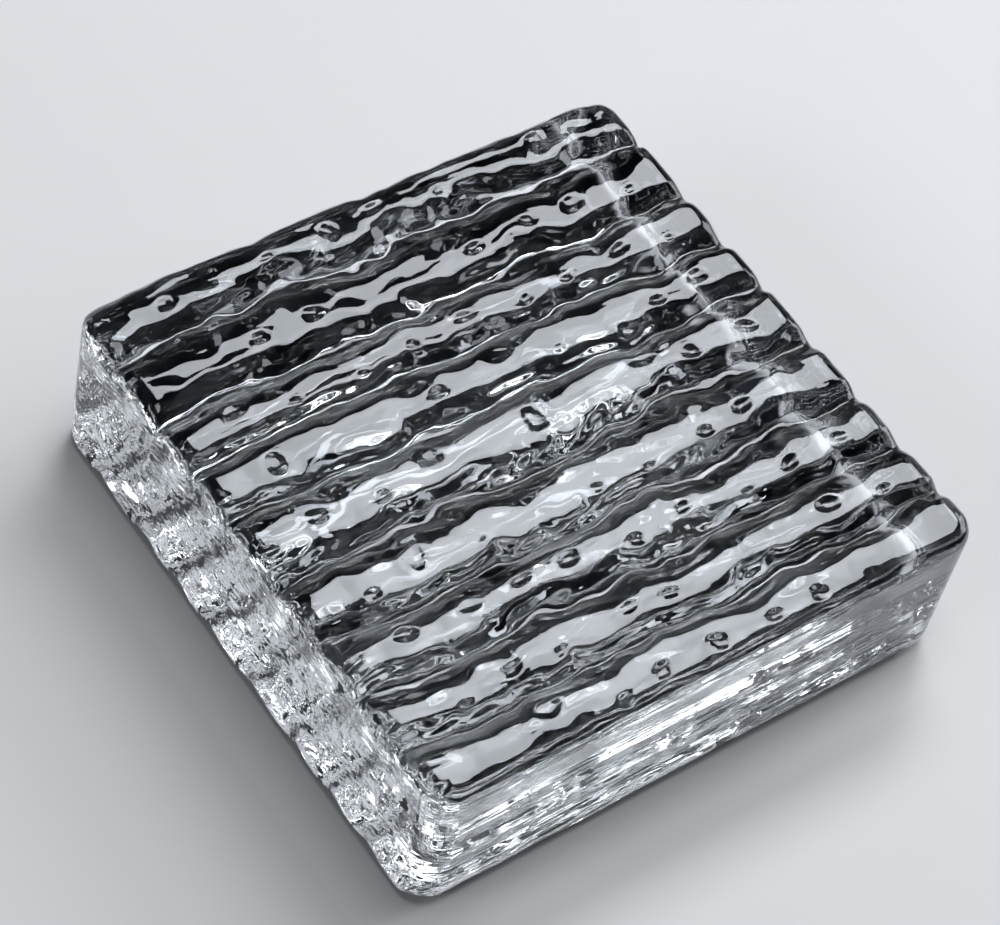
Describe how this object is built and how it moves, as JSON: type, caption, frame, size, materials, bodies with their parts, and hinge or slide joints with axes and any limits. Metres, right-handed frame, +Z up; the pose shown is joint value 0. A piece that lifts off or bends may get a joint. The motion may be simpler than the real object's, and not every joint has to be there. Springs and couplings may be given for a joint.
{
  "type": "glass block",
  "caption": "Square solid block of clear cast glass with wavy parallel ridges on both large faces, flat sides and softened corners, laid in walls and partitions to let light through.",
  "frame": {"origin": "centre of the footprint, on the plane that the crests of the underside touch", "axes": "+Z up, out of the upper ridged face; +X along the ridges; +Y across the ridges"},
  "size_m": [0.2, 0.2, 0.06],
  "materials": {
    "clear_glass": "gloss"
  },
  "bodies": {
    "root": {"glass_block": "clear_glass"}
  },
  "joints": []
}
